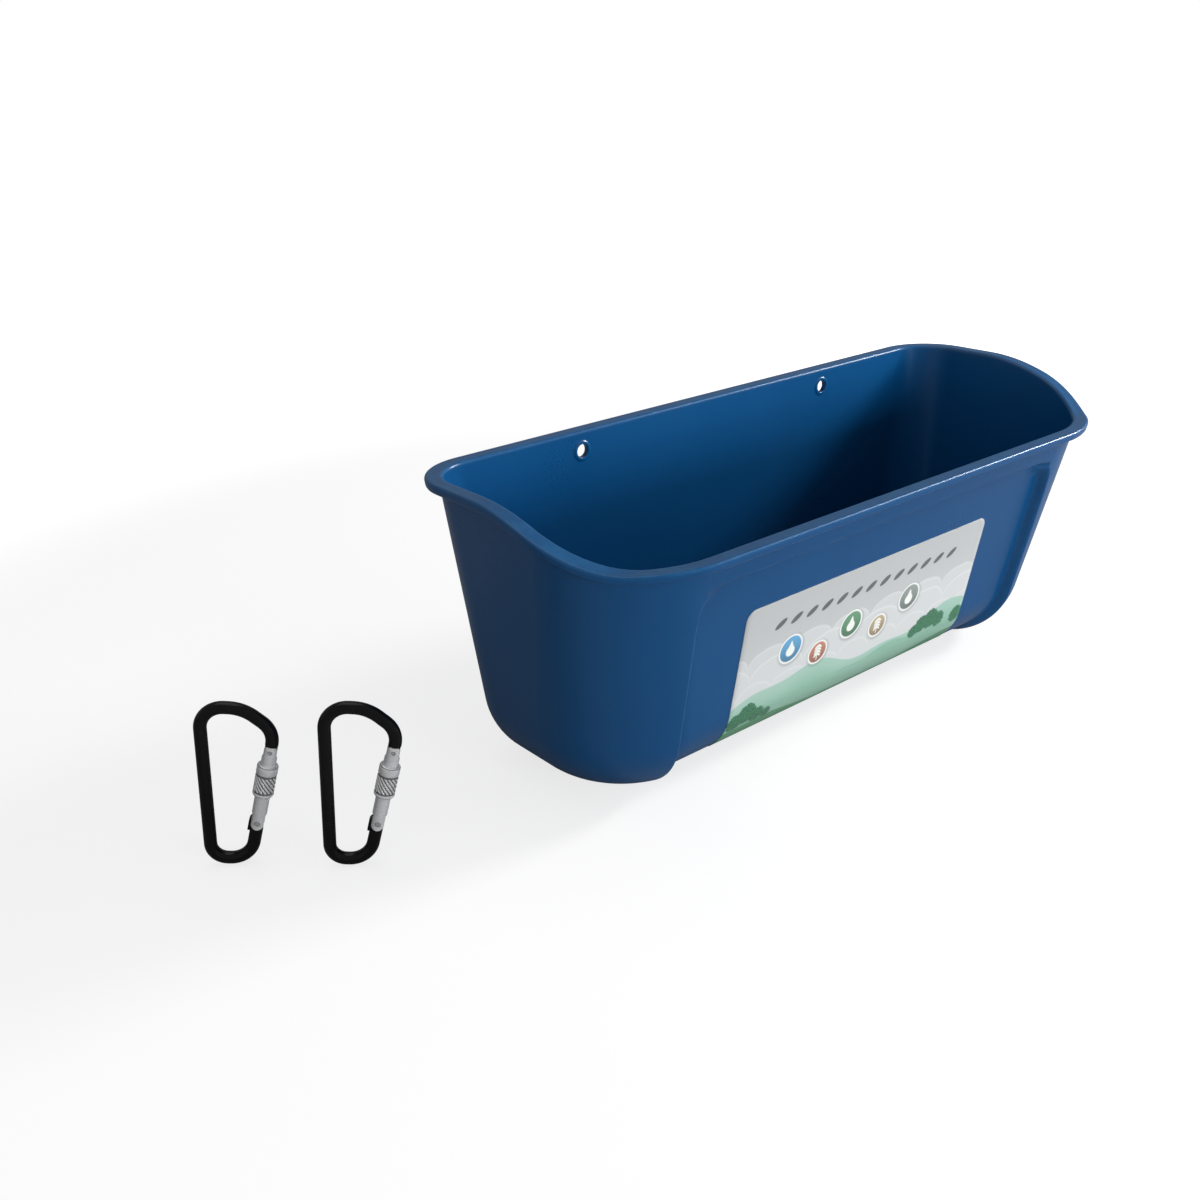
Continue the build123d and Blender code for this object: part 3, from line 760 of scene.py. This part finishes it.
def label_material(colours, label):
    """Satin printed film: grey sky with cloud bands, three hills, bushes, a row of leaves and five
    round farm signs, which show a drop and an ear of grain in turn."""
    paint = Paint(bpy.data.materials.new("label_sheet"), ior=1.48, coat_weight=0.2, coat_roughness=0.25)
    u, v = paint.split(paint.node("ShaderNodeUVMap", {"uv_map": "surface"}).outputs[0])[:2]
    scale = label.length * 1000.0
    x = (u - 0.5) * scale
    y = v * scale
    flat = paint.join(x, y)
    sky = Vector(colours.sky)

    def wave(length_mm, shift):
        """A sine across the label."""
        return paint.math("SINE", x * (2 * math.pi / length_mm) + shift)

    def past(value, edge=0.0, width=0.3):
        """One above an edge, nought below it."""
        return paint.ramp(value, edge - width, edge + width)

    def soft(value, edge, width):
        """One below an edge, nought above it."""
        return 1.0 - past(value, edge, width)

    def away(centre_x, centre_y):
        """Distance from a point: the root of the squares."""
        return paint.math("SQRT", (x - centre_x) ** 2.0 + (y - centre_y) ** 2.0)

    def disc(centre_x, centre_y, radius, width=0.35):
        """One inside a circle."""
        return soft(away(centre_x, centre_y), radius, width)

    def scallops(pitch, lift, edge):
        """Rounded cloud tops: the height of a row of half circles, over a line."""
        local = paint.math("PINGPONG", x + lift * 3.0, pitch / 2) * (2.0 / pitch)
        top = paint.math("SQRT", paint.math("MAXIMUM", 1.0 - local * local, 0.0)) * (pitch * 0.30)
        return past(y - (edge - top), width=0.4)

    def drop(centre_x, centre_y, size):
        """A water drop: a point over a disc."""
        tip = centre_y - size * 0.62
        point = soft(paint.math("ABSOLUTE", x - centre_x) - (y - tip) * 0.42, 0.0, 0.25)
        point = point * paint.ramp(y, tip, centre_y - size * 0.5) * soft(y, centre_y + size * 0.1, 0.5)
        return paint.math("MAXIMUM", point, disc(centre_x, centre_y + size * 0.16, size * 0.36))

    def ear(centre_x, centre_y, size):
        """An ear of grain: a stalk and four pairs of slanting ellipses."""
        mark = soft(paint.math("ABSOLUTE", x - centre_x), 0.30, 0.2)
        mark = mark * soft(paint.math("ABSOLUTE", y - centre_y), size * 0.66, 0.2)
        for row in range(4):
            for side in (-1.0, 1.0):
                grain_x = (x - (centre_x + side * size * 0.17)) * side
                grain_y = y - (centre_y + size * (-0.48 + 0.24 * row))
                long_way = (grain_x + grain_y * 0.8) ** 2.0 * 0.30
                short_way = (grain_x * 0.8 - grain_y) ** 2.0 * 2.1
                grain = soft(long_way + short_way, (size * 0.13) ** 2 * 1.6, 0.4)
                mark = paint.math("MAXIMUM", mark, grain)
        return mark

    wobble = paint.noise(flat, (0.05, 0.05, 1.0), 2.0)
    tone = paint.mix(paint.ramp(y, 0.0, 55.0), sky * 0.93, sky * 1.08)
    for pitch, lift, edge, share in CLOUDS:
        line = edge + 3.0 * wobble
        tone = paint.mix(scallops(pitch, lift, line) * share, tone, colours.cloud)
        tone = paint.mix(scallops(pitch, lift, line + 1.3) * share * 0.7, tone, sky * 1.04)
    far = 49.0 + 4.5 * wave(118.0, 0.6) + 1.8 * wave(47.0, 2.0)
    middle = 58.0 + 4.0 * wave(150.0, 3.6) + 1.2 * wave(38.0, 0.4)
    near = 68.0 + 3.4 * wave(170.0, 1.1) + 0.9 * wave(60.0, 4.0)
    shade = paint.noise(flat, (0.03, 0.16, 1.0), 3.0)
    tone = paint.mix(past(y - far), tone, colours.far_hill)
    tone = paint.mix(paint.ramp(y - far, 0.0, 14.0) * 0.5, tone, colours.middle_hill)
    tone = paint.mix(past(y - middle), tone, paint.mix(shade, colours.middle_hill, colours.far_hill))
    stripes = paint.math("SINE", (y - near + 0.22 * x) * 1.3) * 0.5 + 0.5
    tone = paint.mix(past(y - near), tone, paint.mix(stripes * 0.35, colours.field, colours.middle_hill))
    bushes = 0.0
    ragged = (paint.noise(flat, (0.9, 0.9, 1.0), 2.0) - 0.5) * 3.0
    for bush_x, bush_y, size in BUSHES:
        bush = soft(away(bush_x, bush_y) - (size + ragged), 0.0, 0.4)
        bushes = paint.math("MAXIMUM", bushes, bush)
    leafy = paint.ramp(paint.noise(flat, (1.4, 1.4, 1.0), 2.0), 0.4, 0.65)
    tone = paint.mix(bushes, tone, paint.mix(leafy, colours.bush, colours.field))
    leaf_x = paint.math("WRAP", x, LEAF_PITCH / 2, -LEAF_PITCH / 2)
    leaf_y = y - LEAF_LINE
    long_way = (leaf_x * 0.86 - leaf_y * 0.5) / 3.9
    short_way = (leaf_x * 0.5 + leaf_y * 0.86) / 1.5
    leaves = soft(long_way**2.0 + short_way**2.0, 1.0, 0.18)
    leaves = leaves * soft(paint.math("ABSOLUTE", x), LEAF_REACH, 0.2)
    tone = paint.mix(leaves * 0.9, tone, LEAF_INK)
    for order, (sign_x, sign_y, size, ground) in enumerate(SIGNS):
        tone = paint.mix(disc(sign_x + 0.4, sign_y + 0.6, size + 0.9, 0.8) * 0.35, tone, SHADOW_INK)
        tone = paint.mix(disc(sign_x, sign_y, size), tone, SIGN_RING)
        inside = disc(sign_x, sign_y, size - 0.9)
        fade = paint.ramp(y, sign_y - size, sign_y + size)
        fade = paint.mix(fade, Vector(ground) * 1.5, Vector(ground) * 0.8)
        tone = paint.mix(inside, tone, fade)
        mark = (drop, ear)[order % 2](sign_x, sign_y, size)
        tone = paint.mix(mark * inside, tone, SIGN_MARK)
    tufts = paint.ramp(paint.math("SINE", x * 1.9 + 2.0 * wobble), 0.2, 1.0) * 2.4
    grass = past(y - (84.0 - tufts + 2.0 * wave(90.0, 0.0)))
    tone = paint.mix(grass * 0.8, tone, paint.mix(shade, colours.bush, colours.field))
    dots = paint.cells(paint.stretch(flat, (2.6, 2.6, 1.0)), 1.0)
    tone = paint.mix((0.5 - dots) * 0.10, tone, PALE_DOTS)
    paper = paint.noise(flat, 3.0, 3.0)
    rough = 0.36 + (paper - 0.5) * 0.10 + (wobble - 0.5) * 0.08
    return paint.finish(base_color=tone, roughness=rough, normal=paint.bump(paper + wobble * 3.0, 0.00003))


def black_material(colours):
    """Gloss black anodising with a fine grain, greyer rubs and long thin scratches."""
    paint = Paint(bpy.data.materials.new("black_anodised"), ior=1.33, coat_weight=0.14, coat_roughness=0.05)
    lighter = (0.014, 0.014, 0.016)
    place = paint.place()
    fine = paint.noise(place, 2600.0, 2.0)
    rub = paint.ramp(paint.noise(place, 260.0, 4.0, 0.7), 0.60, 0.74)
    scratch = paint.ramp(paint.noise(place, (300.0, 300.0, 2600.0), 3.0), 0.66, 0.72)
    tone = paint.mix(rub * 0.5 + scratch * 0.2, colours.black, lighter)
    rough = 0.15 + rub * 0.12 + scratch * 0.08 + (fine - 0.5) * 0.03
    return paint.finish(base_color=tone, roughness=rough, normal=paint.bump(fine - scratch, 0.000012))


def metal_material(name, tone, roughness, line):
    """Turned bare metal: fine lines, small rubs and duller patches, with painted shade darkening the grooves.
    """
    paint = Paint(bpy.data.materials.new(name), metallic=0.6)
    # The second colour is the painted shade for the grooves
    dulled, groove_shade = 0.736, (0.03, 0.03, 0.035)
    dull = Vector(tone) * dulled
    place = paint.place()
    lines = paint.noise(place, (80.0, 80.0, line), 3.0, 0.6)
    patch = paint.noise(place, 190.0, 3.0)
    spot = paint.ramp(paint.noise(place, 900.0, 2.0), 0.64, 0.72)
    shade = paint.mix((patch - 0.3) * 0.8 + spot * 0.25 + (lines - 0.5) * 0.4, tone, dull)
    # Painted shade: the knurling's valleys and the plain grooves are darkened to near black
    shade = paint.mix(paint.ramp(paint.attribute("groove"), 0.25, 0.9) * 0.85, shade, groove_shade)
    rough = roughness + (lines - 0.5) * 0.12 + (patch - 0.5) * 0.10 + spot * 0.08
    return paint.finish(base_color=shade, roughness=rough, normal=paint.bump(lines, 0.00002))


def give(piece, material):
    """Puts one material on a piece."""
    piece.data.materials.clear()
    piece.data.materials.append(material)


# Operators


class TROUGH_OT_tub(bpy.types.Operator):
    """Build the moulded tub with its rim, recessed panel and hanging holes"""

    bl_idname = "trough.tub"
    bl_label = "Tub"

    def execute(self, context):
        scene = context.scene
        tub = tub_mesh(scene.trough_tub)
        give(tub, plastic_material(scene.trough_colours))
        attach(tub, "tub")
        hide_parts("trough_tub")
        return {"FINISHED"}


class TROUGH_OT_label(bpy.types.Operator):
    """Build the printed label on the recessed panel"""

    bl_idname = "trough.label"
    bl_label = "Label"

    def execute(self, context):
        scene = context.scene
        label = label_mesh(scene.trough_tub, scene.trough_label)
        give(label, label_material(scene.trough_colours, scene.trough_label))
        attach(label, "tub")
        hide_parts("front_label")
        return {"FINISHED"}


class TROUGH_OT_sleeves(bpy.types.Operator):
    """Build the knurled screw sleeves on the gates"""

    bl_idname = "trough.sleeves"
    bl_label = "Screw sleeves"

    def execute(self, context):
        scene = context.scene
        settings = scene.trough_carabiners
        silver = metal_material("silver_metal", scene.trough_colours.silver, 0.28, 900.0)
        for carabiner in CARABINERS:
            axis = np.array(Vector(JOINTS[f"{carabiner}_sleeve_slide"]["axis"]).normalized())
            hinge = JOINTS[f"{carabiner}_gate_hinge"]
            side = np.array(Vector(hinge["axis"]).normalized())
            origin = np.array(hinge["pos_m"]) + axis * settings.sleeve_start
            sleeve = sleeve_mesh(f"{carabiner}_knurled_sleeve", settings, origin, axis, side)
            give(sleeve, silver)
            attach(sleeve, f"{carabiner}_sleeve")
            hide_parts(f"{carabiner}_screw_sleeve")
            give(frame["nodes"][f"{carabiner}_gate"], silver)
        return {"FINISHED"}


class TROUGH_OT_fittings(bpy.types.Operator):
    """Give the carabiners' frames, pins, plungers and springs their finishes"""

    bl_idname = "trough.fittings"
    bl_label = "Carabiner finishes"

    def execute(self, context):
        colours = context.scene.trough_colours
        black = black_material(colours)
        steel = metal_material("pin_steel", colours.steel, 0.24, 2200.0)
        wire = metal_material("spring_steel", Vector(colours.steel) * 0.8, 0.30, 1400.0)
        finishes = {"frame": black, "gate_spring": wire}
        finishes.update(dict.fromkeys(("hinge_pin", "nose_pin", "plunger"), steel))
        for carabiner in CARABINERS:
            for piece, finish in finishes.items():
                give(frame["nodes"][f"{carabiner}_{piece}"], finish)
        return {"FINISHED"}


class TROUGH_OT_stage(bpy.types.Operator):
    """Set up the floor, the lights, the surroundings and the camera"""

    bl_idname = "trough.stage"
    bl_label = "Stage"

    def execute(self, context):
        scene = context.scene
        settings = scene.trough_stage
        make_floor(scene.trough_colours)
        make_surroundings(settings)
        # Place, height it faces over the middle, size, tint, and whether gloss shows it
        for name, place, aim, size, tint, in_gloss in (
            ("key", (1.25, -0.45, 0.72), 0.06, 0.34, (1.0, 0.99, 0.97), True),
            ("front", (0.15, -1.50, 0.10), 0.06, 0.60, (0.98, 0.99, 1.0), False),
            ("fill", (1.00, -1.10, 0.34), 0.05, 0.90, (0.97, 0.98, 1.0), False),
            ("side", (-1.30, -0.50, 0.35), 0.06, 0.80, (1.0, 1.0, 1.0), False),
            ("top", (-0.10, 0.20, 1.30), 0.0, 1.00, (1.0, 1.0, 1.0), True),
        ):
            power = getattr(settings, f"{name}_power")
            make_lamp(name, place, (0.0, 0.0, aim), size, power, tint, in_gloss)
        make_camera(scene, settings)
        scene.view_settings.view_transform = "Standard"
        return {"FINISHED"}


def make_floor(colours):
    """A wide plain floor. The camera also sees a little light of its own from it, so that it is white
    where nothing shades it and keeps the shadows."""
    reach, level = 6.0, -0.0002
    corners = ((-reach, -reach), (reach, -reach), (reach, reach), (-reach, reach))
    mesh = bpy.data.meshes.new("floor")
    mesh.from_pydata([(x, y, level) for x, y in corners], [], [(0, 1, 2, 3)])
    floor = bpy.data.objects.new("floor", mesh)
    bpy.context.scene.collection.objects.link(floor)
    paint = Paint(bpy.data.materials.new("floor"), roughness=0.9, specular_ior_level=0.1)
    seen = Value(paint, paint.node("ShaderNodeLightPath").outputs["Is Camera Ray"])
    x, y = paint.split(paint.place())[:2]
    far = paint.ramp(paint.math("SQRT", x * x + y * y), 0.45, 1.1)
    inputs = {"Color": (1.0, 1.0, 1.0), "Strength": seen * (0.75 + far)}
    glow = paint.node("ShaderNodeEmission", inputs=inputs)
    both = paint.node("ShaderNodeAddShader", inputs={0: paint.shader.outputs[0], 1: glow.outputs[0]})
    output = paint.tree.nodes["Material Output"]
    paint.set(output.inputs["Surface"], both.outputs[0])
    give(floor, paint.finish(base_color=colours.floor))


def make_surroundings(settings):
    """A pale world: white to the camera, dimmer as light and in gloss."""
    world = bpy.data.worlds.new("surroundings")
    bpy.context.scene.world = world
    paint = Paint(world, "Background", color=(1.0, 1.0, 1.0))
    rays = paint.node("ShaderNodeLightPath").outputs
    inputs = {"Value": rays["Is Glossy Ray"], "To Min": settings.ambient, "To Max": settings.reflected}
    gloss = paint.node("ShaderNodeMapRange", inputs=inputs).outputs["Result"]
    paint.finish(strength=paint.math("MAXIMUM", gloss, rays["Is Camera Ray"]))


def make_lamp(name, place, target, size, power, tint, in_gloss):
    """A square soft lamp that faces a point, and may be left out of reflections."""
    light = bpy.data.lights.new(name, "AREA")
    light.energy, light.size, light.color = power, size, tint
    lamp = bpy.data.objects.new(name, light)
    lamp.location = place
    lamp.rotation_euler = (Vector(target) - Vector(place)).to_track_quat("-Z", "Y").to_euler()
    lamp.visible_glossy = in_gloss
    bpy.context.scene.collection.objects.link(lamp)


def make_camera(scene, settings):
    """The camera: its back axis from the turn and pitch, then the roll about it."""
    turn, pitch, roll = settings.camera_turn, settings.camera_pitch, settings.camera_roll
    back = Vector((math.sin(turn) * math.cos(pitch), -math.cos(turn) * math.cos(pitch), math.sin(pitch)))
    right = Vector((math.cos(turn), math.sin(turn), 0.0))
    up = back.cross(right)
    rolled_right = right * math.cos(roll) - up * math.sin(roll)
    rolled_up = right * math.sin(roll) + up * math.cos(roll)
    pose = Matrix((rolled_right, rolled_up, back)).transposed().to_4x4()
    pose.translation = Vector(settings.camera_place)
    lens = bpy.data.cameras.new("camera")
    lens.sensor_width = 36.0
    lens.lens = settings.camera_lens
    lens.clip_start = 0.01
    camera = bpy.data.objects.new("camera", lens)
    camera.matrix_world = pose
    scene.collection.objects.link(camera)
    scene.camera = camera


class TROUGH_PT_panel(bpy.types.Panel):
    """Sizes, colours and pieces of the feed trough"""

    bl_idname = "TROUGH_PT_panel"
    bl_label = "Feed trough"
    bl_space_type = "VIEW_3D"
    bl_region_type = "UI"
    bl_category = "Trough"

    def draw(self, context):
        for step in STEPS:
            self.layout.operator(step.bl_idname)
        for group in SETTINGS:
            box = self.layout.box()
            settings = getattr(context.scene, group)
            for name in settings.bl_rna.properties.keys():
                if name not in {"rna_type", "name"}:
                    box.prop(settings, name)


SETTINGS = {
    "trough_tub": TroughTubSettings,
    "trough_label": TroughLabelSettings,
    "trough_carabiners": TroughCarabinerSettings,
    "trough_colours": TroughColourSettings,
    "trough_stage": TroughStageSettings,
}
STEPS = (TROUGH_OT_tub, TROUGH_OT_label, TROUGH_OT_sleeves, TROUGH_OT_fittings, TROUGH_OT_stage)


def register():
    for kind in (*SETTINGS.values(), *STEPS, TROUGH_PT_panel):
        bpy.utils.register_class(kind)
    for name, group in SETTINGS.items():
        setattr(bpy.types.Scene, name, PointerProperty(type=group))


def unregister():
    for name in SETTINGS:
        delattr(bpy.types.Scene, name)
    for kind in reversed((*SETTINGS.values(), *STEPS, TROUGH_PT_panel)):
        bpy.utils.unregister_class(kind)


def main():
    """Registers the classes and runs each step."""
    register()
    bpy.ops.trough.tub()
    bpy.ops.trough.label()
    bpy.ops.trough.sleeves()
    bpy.ops.trough.fittings()
    bpy.ops.trough.stage()


if __name__ == "__main__":
    main()
